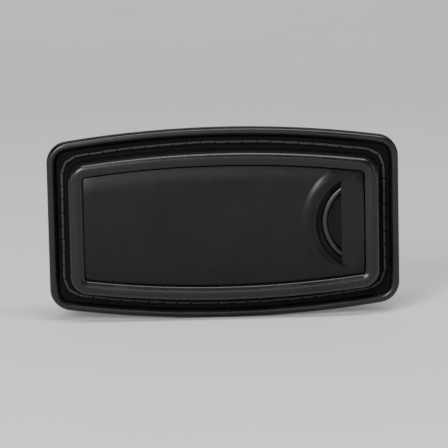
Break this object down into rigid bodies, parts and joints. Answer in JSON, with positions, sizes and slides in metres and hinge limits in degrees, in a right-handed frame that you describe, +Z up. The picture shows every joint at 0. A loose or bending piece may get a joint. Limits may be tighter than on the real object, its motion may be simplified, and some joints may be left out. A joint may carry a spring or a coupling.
{
  "type": "luggage address tag",
  "caption": "Barrel-shaped sew-on luggage tag with a raised rim, a half-moon thumb opening and a card tray that slides out sideways.",
  "frame": {"origin": "centre of the flat back of the tag, in the plane of the sewing flange's back", "axes": "+X to the right of the face and the way the card tray slides out, +Z up the face, -Y out of the face towards the viewer"},
  "size_m": [0.08, 0.0068, 0.044],
  "materials": {
    "frame": "satin",
    "front_plate": "satin",
    "back_plate": "matte",
    "card_tray": "matte",
    "thumb_pad": "matte",
    "address_card": "matte",
    "card_window": "clear, glossy",
    "steel": "plain",
    "stitching": "twisted thread"
  },
  "bodies": {
    "holder": {"frame": "frame", "front_plate": "front_plate", "back_plate": "back_plate", "tray_springs": "steel", "back_screws": "steel", "stitching": "stitching"},
    "tray": {"card_tray": "card_tray", "thumb_pad": "thumb_pad", "address_card": "address_card", "card_window": "card_window"}
  },
  "joints": [
    {"name": "tray_slide", "type": "slide", "parent": "holder", "child": "tray", "axis": [1, 0, 0], "range_m": [0, 0.0575]}
  ]
}
